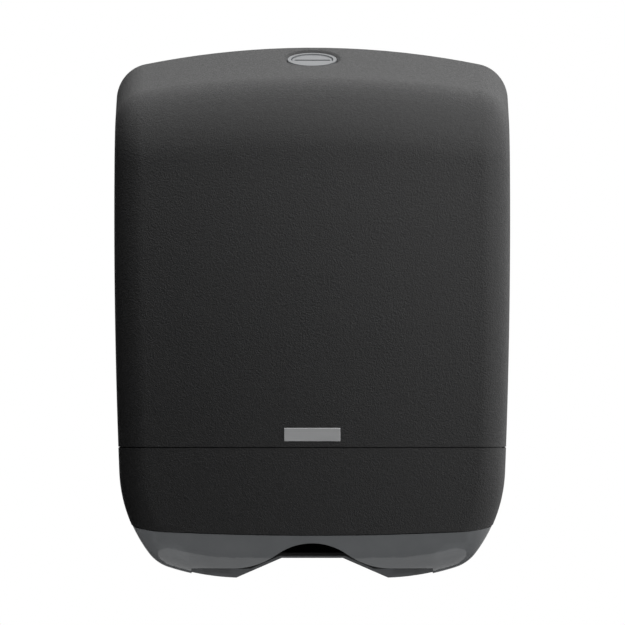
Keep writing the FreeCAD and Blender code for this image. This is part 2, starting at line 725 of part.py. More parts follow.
def towel_shelf():
    funnel = shelf_body(0).cut(shelf_body(SHELF_WALL))
    tab = block(-SHELF_TAB_HALF, SHELF_TAB_HALF, SHELF_REAR, SHELF_REAR + SHELF_WALL,
                SHELF_TOP_Z + 1, SHELF_TAB_Z)
    top = [
        edge for edge in tab.Edges
        if edge_middle(edge).z > SHELF_TAB_Z - 1 and edge.Length < 2 * SHELF_WALL
    ]
    shelf = joined([funnel, tab.makeFillet(SHELF_CORNER, top)])
    finger = arch_prism(SLOT_HALF - 2, FOOT_Z - 2, ARCH_PEAK_Z, DEPTH, MOUTH_FRONT - SHELF_CORNER)
    shelf = shelf.cut(finger)
    for x in SHELF_SCREW_PLACES:
        start, end = at(x, 0, SHELF_SCREW_Z), at(x, RIM_DEPTH, SHELF_SCREW_Z)
        shelf = shelf.cut(rod(SCREW_R + SCREW_FIT, start, end))
    return shelf


def shelf_screws():
    seat = SHELF_REAR + SHELF_WALL
    screws = [panhead_screw(at(x, seat, SHELF_SCREW_Z), at(0, -1, 0), seat) for x in SHELF_SCREW_PLACES]
    return Part.makeCompound(screws)


def latch_keeper():
    base = block(-KEEPER_BASE_HALF, KEEPER_BASE_HALF, PLATE, PLATE + KEEPER_BASE,
                 KEEPER_BASE_BOTTOM_Z, KEEPER_BASE_BOTTOM_Z + KEEPER_BASE_HEIGHT)
    window = block(-KEEPER_HALF, KEEPER_HALF, 0, RIM_DEPTH, 0, KEEPER_ARM_Z)
    lip_front = KEEPER_LIP_DEPTH + KEEPER_LIP
    arm = block(-KEEPER_HALF, KEEPER_HALF, PLATE, lip_front, KEEPER_ARM_Z, KEEPER_ARM_Z + KEEPER_ARM)
    lip = side_prism([
        (KEEPER_LIP_DEPTH, KEEPER_ARM_Z + KEEPER_ARM / 2),
        (KEEPER_LIP_DEPTH, KEEPER_LIP_Z),
        (KEEPER_LIP_DEPTH + KEEPER_LIP / 3, KEEPER_LIP_Z),
        (lip_front, KEEPER_LIP_Z + KEEPER_LIP),
        (lip_front, KEEPER_ARM_Z + KEEPER_ARM / 2),
    ], -KEEPER_HALF, KEEPER_HALF)
    keeper = joined([base.cut(window), arm, lip])
    for side in (-1, 1):
        x = side * KEEPER_SCREW_X
        start, end = at(x, 0, KEEPER_SCREW_Z), at(x, RIM_DEPTH, KEEPER_SCREW_Z)
        keeper = keeper.cut(rod(SCREW_R + SCREW_FIT, start, end))
    return keeper


def keeper_screws():
    seat = PLATE + KEEPER_BASE
    screws = []
    for side in (-1, 1):
        place = at(side * KEEPER_SCREW_X, seat, KEEPER_SCREW_Z)
        screws.append(panhead_screw(place, at(0, -1, 0), seat))
    return Part.makeCompound(screws)


def badge_plate():
    plate = Part.makeBox(
        BADGE_WIDTH, BADGE_HEIGHT, BADGE,
        Vector(-BADGE_WIDTH / 2, -BADGE_HEIGHT / 2, -BADGE_POCKET),
    )
    rim = [edge for edge in plate.Edges if edge_middle(edge).z > BADGE - BADGE_POCKET - 0.01]
    return badge_frame(plate.makeChamfer(BADGE / 5, rim))


def pivot_under():
    """How far under the roof face the latch's pivot lies."""
    return STEM_END + LATCH_GAP + LATCH_BUMP_R + LATCH / 2


def piston_top():
    return ROTOR_TOP + ROTOR + FACE_GAP


def lock_floor():
    """How far under the roof face the lock's floor lies, with room for spring and travel."""
    return piston_top() + PISTON + BUTTON_TRAVEL + SPRING_ROOM


def lock_body():
    collar_end = LOCK_PAD + LOCK_COLLAR
    floor = lock_floor()
    base = floor + LOCK_FLOOR
    solids = [
        lock_disc(RING_R, RING_TOP, collar_end),
        lock_disc(LOCK_BODY_R, LOCK_PAD, base),
    ]
    for side in (-1, 1):
        x = side * LOCK_LUG_X
        solids.append(lock_disc(LOCK_LUG_R, LOCK_PAD, collar_end, x=x))
        solids.append(Part.makeBox(LOCK_LUG_X, 2 * LOCK_LUG_R, LOCK_COLLAR,
                                   Vector(min(0, x), -LOCK_LUG_R, -collar_end)))
        inner, outer = sorted((side * BRACKET_X, side * (BRACKET_X + BRACKET_WALL)))
        arm = [
            (-BRACKET_R, floor),
            (LOCK_BODY_R * 0.7, floor),
            (LATCH_PIVOT_U + BRACKET_R * 0.9, pivot_under() - BRACKET_R / 2),
            (LATCH_PIVOT_U - BRACKET_R / 2, pivot_under() + BRACKET_R * 0.9),
        ]
        solids.append(lock_prism(arm, inner, outer))
        centre = Vector(inner, -LATCH_PIVOT_U, -pivot_under())
        solids.append(Part.makeCylinder(BRACKET_R, BRACKET_WALL, centre, Vector(1, 0, 0)))
    body = joined(solids)
    holes = [
        lock_disc(LOCK_BORE_R, -1, floor),
        lock_disc(STEM_R + STEM_CLEARANCE, 0, base + 1),
        Part.makeCylinder(LATCH_PIN_R + PIN_CLEARANCE, WIDTH,
                          Vector(-WIDTH / 2, -LATCH_PIVOT_U, -pivot_under()), Vector(1, 0, 0)),
        Part.makeCylinder(TORSION_WIRE_R + PIN_CLEARANCE, BRACKET_WALL,
                          Vector(BRACKET_X, -LATCH_PIVOT_U - TORSION_PEG, -pivot_under() - TORSION_R),
                          Vector(1, 0, 0)),
    ]
    for side in (-1, 1):
        holes.append(lock_disc(SCREW_R + SCREW_FIT, LOCK_PAD - 1, collar_end + 1, x=side * LOCK_LUG_X))
    for hole in holes:
        body = body.cut(hole)
    return in_lock_frame(body)


def lock_screws():
    seat = LOCK_PAD + LOCK_COLLAR
    screws = []
    for side in (-1, 1):
        place = Vector(side * LOCK_LUG_X, 0, -seat)
        screws.append(panhead_screw(place, Vector(0, 0, 1), seat - LOCK_PAD / 2 + 1))
    return in_lock_frame(Part.makeCompound(screws))


def lock_button():
    top = piston_top()
    piston = lock_disc(PISTON_R, top, top + PISTON)
    stem = lock_disc(STEM_R, top + PISTON / 2, STEM_END)
    button = joined([piston, stem])
    button = button.cut(lock_disc(SPINDLE_R + PIN_CLEARANCE, 0, STEM_END + 1))
    return in_lock_frame(button.cut(lock_disc(STEM_BORE_R, top + PISTON, STEM_END + 1)))


def lock_rotor():
    disc = lock_disc(ROTOR_R, ROTOR_TOP, ROTOR_TOP + ROTOR)
    rim = [edge for edge in disc.Edges if edge_middle(edge).z > -ROTOR_TOP - 0.01 and edge.isClosed()]
    disc = disc.makeChamfer(KEY_SLOT_WIDTH / 6, rim[:1])
    straight = KEY_SLOT_LENGTH - KEY_SLOT_WIDTH
    slot = Part.makeBox(straight, KEY_SLOT_WIDTH, KEY_SLOT + 1,
                        Vector(-straight / 2, -KEY_SLOT_WIDTH / 2, -ROTOR_TOP - KEY_SLOT))
    ends = [
        lock_disc(KEY_SLOT_WIDTH / 2, ROTOR_TOP - 1, ROTOR_TOP + KEY_SLOT, x=side * straight / 2)
        for side in (-1, 1)
    ]
    spindle = lock_disc(SPINDLE_R, ROTOR_TOP + ROTOR / 2, SPINDLE_END)
    rotor = disc.fuse(spindle)
    for tool in [slot] + ends:
        rotor = rotor.cut(tool)
    groove_top = piston_top() + PISTON + FACE_GAP
    groove = lock_disc(SPINDLE_R + 1, groove_top, groove_top + CLIP + FACE_GAP)
    groove = groove.cut(lock_disc(SPINDLE_R - CLIP_GROOVE, groove_top, groove_top + CLIP + FACE_GAP))
    return in_lock_frame(rotor.cut(groove))


def rotor_clip():
    top = piston_top() + PISTON + FACE_GAP
    clip = lock_disc(CLIP_R, top, top + CLIP)
    clip = clip.cut(lock_disc(SPINDLE_R - CLIP_GROOVE + PIN_CLEARANCE, top, top + CLIP))
    gap = Part.makeBox(CLIP_OPENING, CLIP_R + 1, CLIP, Vector(-CLIP_OPENING / 2, 0, -top - CLIP))
    return in_lock_frame(clip.cut(gap))


def coil_edges(radius, turns, pitch):
    """A climbing coil about Z, in half turns, from a first point on +X."""

    def spot(turn):
        angle = 2 * math.pi * turn
        return Vector(radius * math.cos(angle), radius * math.sin(angle), pitch * turn)

    halves = [half / 2 for half in range(round(2 * turns))]
    return [Part.Arc(spot(a), spot(a + 0.25), spot(a + 0.5)).toShape() for a in halves]


def drawn_wire(edges, radius):
    """Spring wire along a path, with the square section that fits in its round one."""
    half = radius * math.sqrt(0.5)
    start = edges[0].valueAt(edges[0].FirstParameter)
    along = edges[0].tangentAt(edges[0].FirstParameter)
    side = along.cross(Vector(0, 0, 1))
    side = side.normalize() if side.Length > 0.5 else Vector(1, 0, 0)
    up = along.cross(side)
    section = [start + side * (half * i) + up * (half * j)
               for i, j in ((1, 1), (-1, 1), (-1, -1), (1, -1), (1, 1))]
    return Part.Wire(edges).makePipeShell([Part.makePolygon(section)], True, False)


def lock_spring():
    top = piston_top() + PISTON + SPRING_WIRE_R + FACE_GAP
    bottom = lock_floor() - SPRING_WIRE_R - FACE_GAP
    edges = coil_edges(SPRING_R, SPRING_TURNS, (bottom - top) / SPRING_TURNS)
    spring = drawn_wire(edges, SPRING_WIRE_R)
    spring.translate(Vector(0, 0, -bottom))
    return in_lock_frame(spring)


def tooth_spot():
    """The tooth's front depth and top height when the latch holds."""
    return KEEPER_LIP_DEPTH - TOOTH_GAP, KEEPER_LIP_Z + TOOTH_BITE


def latch():
    under = pivot_under()
    top, bottom = under - LATCH / 2, under + LATCH / 2
    arm = lock_prism([(LATCH_REAR_U, top), (LATCH_PIVOT_U, top), (LATCH_PIVOT_U, bottom),
                      (LATCH_REAR_U, bottom)], -LATCH_HALF, LATCH_HALF)
    bump = Part.makeCylinder(LATCH_BUMP_R, 2 * LATCH_HALF, Vector(-LATCH_HALF, 0, -top), Vector(1, 0, 0))
    boss_start = -BRACKET_X + LATCH_GAP
    boss_length = LATCH_SPRING_X - boss_start
    pivot = Vector(boss_start, -LATCH_PIVOT_U, -under)
    boss = Part.makeCylinder(LATCH_BOSS_R, boss_length, pivot, Vector(1, 0, 0))
    room = TORSION_R + TORSION_WIRE_R + 1.5
    relief = lock_prism([(LATCH_PIVOT_U - room, top - 1), (LATCH_PIVOT_U + 1, top - 1),
                         (LATCH_PIVOT_U + 1, bottom + 1), (LATCH_PIVOT_U - room, bottom + 1)],
                        LATCH_SPRING_X, LATCH_HALF + 1)
    bore = Part.makeCylinder(LATCH_PIN_R + PIN_CLEARANCE, WIDTH,
                             Vector(-WIDTH / 2, -LATCH_PIVOT_U, -under), Vector(1, 0, 0))
    lever = in_lock_frame(joined([arm.cut(relief), bump, boss]).cut(bore))
    front, high = tooth_spot()
    low = high - TOOTH_BITE - LATCH
    tooth = side_prism([
        (front, low), (front, high), (front - TOOTH + TOOTH_CHAMFER, high),
        (front - TOOTH, high - TOOTH_CHAMFER), (front - TOOTH, low),
    ], -LATCH_HALF, LATCH_HALF)
    return joined([lever, tooth])


def latch_pin():
    half = BRACKET_X + BRACKET_WALL + 1
    pin = Part.makeCylinder(LATCH_PIN_R, 2 * half,
                            Vector(-half, -LATCH_PIVOT_U, -pivot_under()), Vector(1, 0, 0))
    return in_lock_frame(pin.makeChamfer(LATCH_PIN_R / 5, [e for e in pin.Edges if e.isClosed()]))


def latch_spring():
    inner = LATCH_SPRING_X + TORSION_WIRE_R + FACE_GAP
    outer = inner + TORSION_TURNS * TORSION_PITCH
    # Drawn about Z from the bent end in the bracket to the long leg under the latch
    bend, low = TORSION_BEND_R, TORSION_R
    peg = -(BRACKET_X + BRACKET_WALL - outer)
    corner = bend * (1 - math.sqrt(0.5))
    end = TORSION_TURNS * TORSION_PITCH
    edges = [
        Part.LineSegment(Vector(low, -TORSION_PEG, peg), Vector(low, -TORSION_PEG, -bend)).toShape(),
        Part.Arc(
            Vector(low, -TORSION_PEG, -bend), Vector(low, corner - TORSION_PEG, -corner),
            Vector(low, bend - TORSION_PEG, 0),
        ).toShape(),
        Part.LineSegment(Vector(low, bend - TORSION_PEG, 0), Vector(low, 0, 0)).toShape(),
    ]
    edges += coil_edges(TORSION_R, TORSION_TURNS, TORSION_PITCH)
    leg_end = Vector(LATCH / 2 + TORSION_WIRE_R, TORSION_LEG, end)
    edges.append(Part.LineSegment(Vector(low, 0, end), leg_end).toShape())
    wound = drawn_wire(edges, TORSION_WIRE_R)
    wound.rotate(Vector(0, 0, 0), Vector(0, 1, 0), 90)
    wound = mirrored(wound)
    wound.translate(Vector(outer, -LATCH_PIVOT_U, -pivot_under()))
    return in_lock_frame(wound)


PIECES = {
    "back_plate": back_plate,
    "towel_shelf": towel_shelf,
    "shelf_screws": shelf_screws,
    "latch_keeper": latch_keeper,
    "keeper_screws": keeper_screws,
    "hinge_pin_right": hinge_pin,
    "hinge_pin_left": lambda: mirrored(hinge_pin()),
    "cover_shell": cover_shell,
    "cover_band": cover_band,
    "band_screws": band_screws,
    "outlet_tray": outlet_tray,
    "tray_screws": tray_screws,
    "badge_plate": badge_plate,
    "lock_body": lock_body,
    "lock_screws": lock_screws,
    "lock_spring": lock_spring,
    "lock_button": lock_button,
    "lock_rotor": lock_rotor,
    "rotor_clip": rotor_clip,
    "latch": latch,
    "latch_pin": latch_pin,
    "latch_spring": latch_spring,
}

os.makedirs("parts", exist_ok=True)
for name, make in PIECES.items():
    piece = make()
    piece.translate(Vector(0, 0, -SCREW_CENTRE_Z))
    piece.exportStep("parts/" + name + ".step")
    print(name, len(piece.Solids), "solids", round(piece.Volume), "mm3", piece.isValid())
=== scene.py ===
import math

import bmesh
import bpy
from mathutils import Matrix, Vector


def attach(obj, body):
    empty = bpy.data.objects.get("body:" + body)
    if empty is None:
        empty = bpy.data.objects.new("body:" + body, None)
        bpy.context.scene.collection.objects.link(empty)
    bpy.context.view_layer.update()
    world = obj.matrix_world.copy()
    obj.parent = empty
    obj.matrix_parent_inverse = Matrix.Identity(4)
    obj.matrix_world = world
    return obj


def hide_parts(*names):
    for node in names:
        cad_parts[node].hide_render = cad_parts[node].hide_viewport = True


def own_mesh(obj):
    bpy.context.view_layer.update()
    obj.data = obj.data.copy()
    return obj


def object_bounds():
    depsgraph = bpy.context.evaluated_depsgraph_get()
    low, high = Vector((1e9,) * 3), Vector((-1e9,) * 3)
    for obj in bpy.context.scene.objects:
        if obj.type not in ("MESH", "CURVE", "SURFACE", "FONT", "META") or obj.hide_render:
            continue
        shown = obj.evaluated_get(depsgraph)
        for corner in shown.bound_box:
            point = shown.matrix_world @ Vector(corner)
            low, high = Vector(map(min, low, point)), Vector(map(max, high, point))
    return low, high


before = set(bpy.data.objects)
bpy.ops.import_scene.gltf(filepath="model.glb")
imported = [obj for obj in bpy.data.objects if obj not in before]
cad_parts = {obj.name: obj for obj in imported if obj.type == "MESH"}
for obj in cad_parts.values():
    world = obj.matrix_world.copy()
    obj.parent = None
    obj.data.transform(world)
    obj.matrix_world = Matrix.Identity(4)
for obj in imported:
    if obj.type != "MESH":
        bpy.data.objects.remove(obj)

CAD_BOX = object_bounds()
MM = 0.001
WELD = 0.002 * MM
SHARP_EDGE = math.radians(35)
MOULD_EDGE = math.radians(60)

# Wall chassis and towel shelf
# The plate that is screwed to the wall and the funnel that carries the towels are injection
# moulded in black ABS. Both come out of a polished mould, so they are smoother than the cover,
# with faint flow marks where the melt met.


def linear(code):
    """An sRGB colour such as #1a1a1b as linear RGBA."""
    parts = [int(code[i:i + 2], 16) / 255 for i in (1, 3, 5)]
    return tuple(c / 12.92 if c <= 0.04045 else ((c + 0.055) / 1.055) ** 2.4 for c in parts) + (1.0,)


def add(tree, kind, inputs=None, **settings):
    """Adds a node with its settings. An input takes a value, a socket or a node's first output."""
    made = tree.nodes.new(kind)
    for name, value in settings.items():
        setattr(made, name, value)
    shown = [socket for socket in made.inputs if socket.enabled]
    for key, value in (inputs or {}).items():
        socket = shown[key] if isinstance(key, int) else next(s for s in shown if s.name == key)
        if isinstance(value, bpy.types.Node):
            value = next(out for out in value.outputs if out.enabled)
        if isinstance(value, bpy.types.NodeSocket):
            tree.links.new(value, socket)
        else:
            socket.default_value = value
    return made


def new_material(name):
    """An empty material's tree, its output node and the object's own coordinates in metres."""
    material = bpy.data.materials.new(name)
    material.use_nodes = True
    tree = material.node_tree
    tree.nodes.clear()
    output = add(tree, "ShaderNodeOutputMaterial")
    place = add(tree, "ShaderNodeTexCoord").outputs["Object"]
    return material, tree, output, place


def dress_piece(piece, material, edge=0.0):
    """Gives a piece a finish, smooth shading and, where the mould rounds it, soft edges."""
    piece.data.materials.clear()
    piece.data.materials.append(material)
    piece.data.polygons.foreach_set("use_smooth", [True] * len(piece.data.polygons))
    weld = piece.modifiers.new("weld", "WELD")
    weld.merge_threshold = WELD
    if edge:
        bevel = piece.modifiers.new("edge", "BEVEL")
        bevel.width = edge
        bevel.segments = 2
        bevel.limit_method = "ANGLE"
        bevel.angle_limit = MOULD_EDGE
    corners = piece.modifiers.new("corners", "EDGE_SPLIT")
    corners.split_angle = SHARP_EDGE
    piece.modifiers.new("normals", "WEIGHTED_NORMAL").weight = 60


def dress(names, material, edge=0.0):
    """Gives CAD nodes that finish."""
    for name in names:
        dress_piece(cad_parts[name], material, edge)


def moulded_chassis_abs():
    # Plain moulded ABS: a satin black that breaks up the light a little where the melt flowed
    material, tree, output, place = new_material("moulded_chassis_abs")
    flow = add(tree, "ShaderNodeTexNoise", {"Vector": place, "Scale": 1 / (18 * MM), "Detail": 3.0})
    fine = add(tree, "ShaderNodeTexNoise", {"Vector": place, "Scale": 1 / (0.8 * MM), "Detail": 2.0})
    colour = add(tree, "ShaderNodeMix", {
        "Factor": flow, "A": linear("#141415"), "B": linear("#1b1b1c"),
    }, data_type="RGBA")
    gloss = add(tree, "ShaderNodeMapRange", {
        "Value": flow, "To Min": 0.34, "To Max": 0.46,
    })
    bump = add(tree, "ShaderNodeBump", {
        "Height": fine, "Strength": 0.15, "Distance": 0.04 * MM,
    })
    shader = add(tree, "ShaderNodeBsdfPrincipled", {
        "Base Color": colour, "Roughness": gloss,
        "Normal": bump, "IOR": 1.53,
    })
    tree.links.new(shader.outputs["BSDF"], output.inputs["Surface"])
    return material


CHASSIS_ABS = moulded_chassis_abs()
dress(["back_plate", "latch_keeper"], CHASSIS_ABS)

# Lip of the funnel's mouth
# The rear lip of the moulded funnel hangs low behind the tray's front edge, and a notch in it clears
# the raised middle of the tray's floor. Both are made in a copy of the shelf, which takes its place.
# Heights count up from the foot of the dispenser, and depths out from the wall, in mm.
LIP_DEPTH = 43.5
LIP_OLD_Z = 12.0
LIP_Z = 7.2
NOTCH_TOP_Z = 16.6
NOTCH_TOP_HALF = 24.0
NOTCH_FOOT_HALF = 62.0
NOTCH_DEPTHS = (37.0, 50.0)
FOOT_Z = -215.0


def notched_shelf():
    """A copy of the shelf with the lip lowered and the notch cut through it."""
    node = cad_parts["towel_shelf"]
    shelf = bpy.data.objects.new("funnel_with_notch", node.data.copy())
    bpy.context.scene.collection.objects.link(shelf)
    edit = bmesh.new()
    edit.from_mesh(shelf.data)
    bmesh.ops.remove_doubles(edit, verts=edit.verts, dist=WELD)
    for point in edit.verts:
        if point.co.y > -LIP_DEPTH * MM and point.co.z < (FOOT_Z + LIP_OLD_Z) * MM:
            point.co.z = (FOOT_Z + LIP_Z) * MM
    edit.to_mesh(shelf.data)
    edit.free()
    outline = [
        (-NOTCH_FOOT_HALF, 0.0), (-NOTCH_TOP_HALF, NOTCH_TOP_Z),
        (NOTCH_TOP_HALF, NOTCH_TOP_Z), (NOTCH_FOOT_HALF, 0.0),
    ]
    points = [(x * MM, -depth * MM, (FOOT_Z + z) * MM) for depth in NOTCH_DEPTHS for x, z in outline]
    ends = [(0, 1, 2, 3), (7, 6, 5, 4)]
    sides = [(i + 4, (i + 1) % 4 + 4, (i + 1) % 4, i) for i in range(4)]
    block = bpy.data.meshes.new("notch")
    block.from_pydata(points, [], ends + sides)
    cutter = bpy.data.objects.new("notch", block)
    bpy.context.scene.collection.objects.link(cutter)
    cut = shelf.modifiers.new("notch", "BOOLEAN")
    cut.object = cutter
    cut.solver = "EXACT"
    ready = shelf.evaluated_get(bpy.context.evaluated_depsgraph_get())
    shelf.data = bpy.data.meshes.new_from_object(ready)
    shelf.modifiers.clear()
    bpy.data.objects.remove(cutter)
    return shelf


funnel = notched_shelf()
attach(funnel, "chassis")
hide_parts("towel_shelf")
dress_piece(funnel, CHASSIS_ABS)

# Screws
# Pan-headed thread-forming screws, cold headed from steel wire and zinc plated. They hold the
# shelf, the keeper, the two halves of the cover, the tray and the lock from the inside.


def zinc_plated_steel():
    # Zinc plate: pale grey metal with a faint blue cast and a slightly uneven lustre
    material, tree, output, place = new_material("zinc_plated_steel")
    cloud = add(tree, "ShaderNodeTexNoise", {"Vector": place, "Scale": 1 / (0.9 * MM), "Detail": 3.0})
    colour = add(tree, "ShaderNodeMix", {
        "Factor": cloud, "A": linear("#a9aeb4"), "B": linear("#c3c6c8"),
    }, data_type="RGBA")
    gloss = add(tree, "ShaderNodeMapRange", {
        "Value": cloud, "To Min": 0.26, "To Max": 0.42,
    })
    shader = add(tree, "ShaderNodeBsdfPrincipled", {
        "Base Color": colour, "Roughness": gloss, "Metallic": 1.0,
    })
    tree.links.new(shader.outputs["BSDF"], output.inputs["Surface"])
    return material


ZINC_STEEL = zinc_plated_steel()
dress(["shelf_screws", "keeper_screws", "band_screws", "tray_screws", "lock_screws"], ZINC_STEEL)

# Pins, springs and clip
# Hinge pins and the latch pin are ground steel rod, the springs hard drawn spring wire and the
# clip stamped spring steel. They run in the moulded parts with a little grease.


def drawn_steel():
    # Drawn and ground steel: bright, with fine draw marks along the wire's skin
    material, tree, output, place = new_material("drawn_steel")
    marks = add(tree, "ShaderNodeTexNoise", {"Vector": place, "Scale": 1 / (0.3 * MM), "Detail": 4.0})
    colour = add(tree, "ShaderNodeMix", {
        "Factor": marks, "A": linear("#9b9c9e"), "B": linear("#cbccce"),
    }, data_type="RGBA")
    gloss = add(tree, "ShaderNodeMapRange", {
        "Value": marks, "To Min": 0.18, "To Max": 0.34,
    })
    shader = add(tree, "ShaderNodeBsdfPrincipled", {
        "Base Color": colour, "Roughness": gloss, "Metallic": 1.0,
    })
    tree.links.new(shader.outputs["BSDF"], output.inputs["Surface"])
    return material


DRAWN_STEEL = drawn_steel()
dress(["hinge_pin_right", "hinge_pin_left", "latch_pin", "latch_spring", "rotor_clip"], DRAWN_STEEL)

# Cover: upper shell and lower band
# Two mouldings in black ABS, screwed to each other from inside along the parting line. Their mould
# was spark eroded, which leaves a fine irregular grain that hides finger marks.


def spark_eroded_abs():
    # Spark-eroded ABS: a rough sheen broken into small speckles, grey where it catches the light
    material, tree, output, place = new_material("spark_eroded_abs")
    # The real grain is about 0.3 mm wide. It is drawn 1.7 mm wide, as coarse as the photo shows it
    grain = add(tree, "ShaderNodeTexNoise", {
        "Vector": place, "Scale": 1 / (1.7 * MM), "Detail": 3.0, "Roughness": 0.7,
    })
    pits = add(tree, "ShaderNodeTexNoise", {
        "Vector": place, "Scale": 1 / (0.7 * MM), "Detail": 2.0, "Roughness": 0.6,
    })
    speckle = add(tree, "ShaderNodeMapRange", {
        "Value": grain, "From Min": 0.32, "From Max": 0.68,
    })
    colour = add(tree, "ShaderNodeMix", {
        "Factor": speckle, "A": linear("#080809"), "B": linear("#141415"),
    }, data_type="RGBA")
    gloss = add(tree, "ShaderNodeMapRange", {
        "Value": speckle, "To Min": 0.56, "To Max": 0.42,
    })
    height = add(tree, "ShaderNodeMath", {
        0: grain, 1: pits,
    }, operation="ADD")
    bump = add(tree, "ShaderNodeBump", {
        "Height": height, "Strength": 1.0, "Distance": 0.38 * MM,
    })
    shader = add(tree, "ShaderNodeBsdfPrincipled", {
        "Base Color": colour, "Roughness": gloss,
        "Normal": bump, "IOR": 1.53,
    })
    tree.links.new(shader.outputs["BSDF"], output.inputs["Surface"])
    return material


SPARK_ABS = spark_eroded_abs()
COVER_EDGE = 0.4 * MM
dress(["cover_shell", "cover_band"], SPARK_ABS, COVER_EDGE)

# Outlet tray
# The see-through tray under the cover, moulded in smoky polycarbonate so that someone can see
# whether towels are left. It is polished, its rim laps up inside the band, and screws hold it.


def smoky_polycarbonate():
    # Smoked polycarbonate: its grey pigment scatters the light, so what lies behind shows only faintly
    material, tree, output, place = new_material("smoky_polycarbonate")
    flow = add(tree, "ShaderNodeTexNoise", {"Vector": place, "Scale": 1 / (14 * MM), "Detail": 2.0})
    tint = add(tree, "ShaderNodeMix", {
        "Factor": flow, "A": linear("#6c6e70"), "B": linear("#76787a"),
    }, data_type="RGBA")
    gloss = add(tree, "ShaderNodeMapRange", {
        "Value": flow, "To Min": 0.06, "To Max": 0.12,
    })
    shader = add(tree, "ShaderNodeBsdfPrincipled", {
        "Base Color": tint, "Roughness": gloss,
        "IOR": 1.58, "Transmission Weight": 0.28,
    })
    tree.links.new(shader.outputs["BSDF"], output.inputs["Surface"])
    return material


SMOKY_PC = smoky_polycarbonate()
dress(["outlet_tray"], SMOKY_PC)

# Badge plate
# A small plate of brushed aluminium, glued into a shallow pocket above the parting line. It is
# bare, and its edge is chamfered by the stamping die.


def brushed_aluminium():
    # Brushed aluminium: soft grey streaks along the plate, brighter on the chamfer
    material, tree, output, place = new_material("brushed_aluminium")
    # Grit 180 leaves scratches 0.08 mm wide, drawn 0.35 mm wide so that they show
    stretch = add(tree, "ShaderNodeMapping", {
        "Vector": place, "Scale": (1 / (30 * MM), 1 / (0.35 * MM), 1 / (0.35 * MM)),
    })
    streaks = add(tree, "ShaderNodeTexNoise", {
        "Vector": stretch, "Scale": 1.0, "Detail": 4.0, "Roughness": 0.7,
    })
    colour = add(tree, "ShaderNodeMix", {
        "Factor": streaks, "A": linear("#c9cacb"), "B": linear("#e4e5e6"),
    }, data_type="RGBA")
    gloss = add(tree, "ShaderNodeMapRange", {
        "Value": streaks, "To Min": 0.42, "To Max": 0.56,
    })
    bump = add(tree, "ShaderNodeBump", {
        "Height": streaks, "Strength": 0.2, "Distance": 0.02 * MM,
    })
    shader = add(tree, "ShaderNodeBsdfPrincipled", {
        "Base Color": colour, "Roughness": gloss,
        "Normal": bump, "Metallic": 1.0,
    })
    tree.links.new(shader.outputs["BSDF"], output.inputs["Surface"])
    return material


BRUSHED_ALUMINIUM = brushed_aluminium()
dress(["badge_plate"], BRUSHED_ALUMINIUM)

# Lock
# The lock's housing and its round face with the key slot are moulded in pale grey nylon. The
# plunger and the latch under them are black acetal, which slides without grease.


ROOF_SLOPE = math.radians(16.0)
LOCK_AXIS = Vector((0.0, -math.sin(ROOF_SLOPE), math.cos(ROOF_SLOPE)))
LOCK_DEPTH = 30.0 * MM
LOCK_TOP = Vector((0.0, -LOCK_DEPTH, CAD_BOX[1][2] - LOCK_DEPTH * math.tan(ROOF_SLOPE)))
RING_SHADE_DEPTH = 3.0 * MM
FACE_SHADE_DEPTH = 1.9 * MM
SHADE_FADE = 0.5 * MM


def grey_nylon(name, shade_depth):
    # Glass-filled nylon: pale satin grey with a fine mottle from the fibres near its skin. From the
    # depth under the roof that is given on, it turns near black: painted shade in the dish and the key
    # slot
    material, tree, output, place = new_material(name)
    fibres = add(tree, "ShaderNodeTexNoise", {
        "Vector": place, "Scale": 1 / (0.6 * MM), "Detail": 4.0, "Roughness": 0.6,
    })
    colour = add(tree, "ShaderNodeMix", {
        "Factor": fibres, "A": linear("#85878a"), "B": linear("#9b9d9f"),
    }, data_type="RGBA")
    # How far under the roof's face a point lies, square to it
    sunk = add(tree, "ShaderNodeVectorMath", {0: place, 1: LOCK_TOP}, operation="SUBTRACT")
    under = add(tree, "ShaderNodeVectorMath", {0: sunk, 1: -LOCK_AXIS}, operation="DOT_PRODUCT")
    painted_shade = add(tree, "ShaderNodeMapRange", {
        "Value": under.outputs["Value"], "From Min": shade_depth, "From Max": shade_depth + SHADE_FADE,
    })
    # Painted shade: deeper under the roof than that, the grey is mixed to near black
    colour = add(tree, "ShaderNodeMix", {
        "Factor": painted_shade, "A": colour, "B": linear("#1c1c1d"),
    }, data_type="RGBA")
    gloss = add(tree, "ShaderNodeMapRange", {
        "Value": fibres, "To Min": 0.36, "To Max": 0.50,
    })
    bump = add(tree, "ShaderNodeBump", {
        "Height": fibres, "Strength": 0.2, "Distance": 0.03 * MM,
    })
    shader = add(tree, "ShaderNodeBsdfPrincipled", {
        "Base Color": colour, "Roughness": gloss,
        "Normal": bump, "IOR": 1.53,
    })
    tree.links.new(shader.outputs["BSDF"], output.inputs["Surface"])
    return material


def black_acetal():
    # Acetal: smooth waxy black with a soft, even highlight
    material, tree, output, place = new_material("black_acetal")
    wax = add(tree, "ShaderNodeTexNoise", {"Vector": place, "Scale": 1 / (2.5 * MM), "Detail": 2.0})
    colour = add(tree, "ShaderNodeMix", {
        "Factor": wax, "A": linear("#151516"), "B": linear("#1e1e20"),
    }, data_type="RGBA")
    gloss = add(tree, "ShaderNodeMapRange", {
        "Value": wax, "To Min": 0.26, "To Max": 0.36,
    })
    shader = add(tree, "ShaderNodeBsdfPrincipled", {
        "Base Color": colour, "Roughness": gloss, "IOR": 1.48,
    })
    tree.links.new(shader.outputs["BSDF"], output.inputs["Surface"])
    return material


# Painted shade: the ring keeps its grey down to the dish and the face down to just inside its key
# slot, and below that both turn near black
dress(["lock_body"], grey_nylon("grey_nylon_ring", RING_SHADE_DEPTH))
dress(["lock_rotor"], grey_nylon("grey_nylon_face", FACE_SHADE_DEPTH))
dress(["lock_button", "latch"], black_acetal())


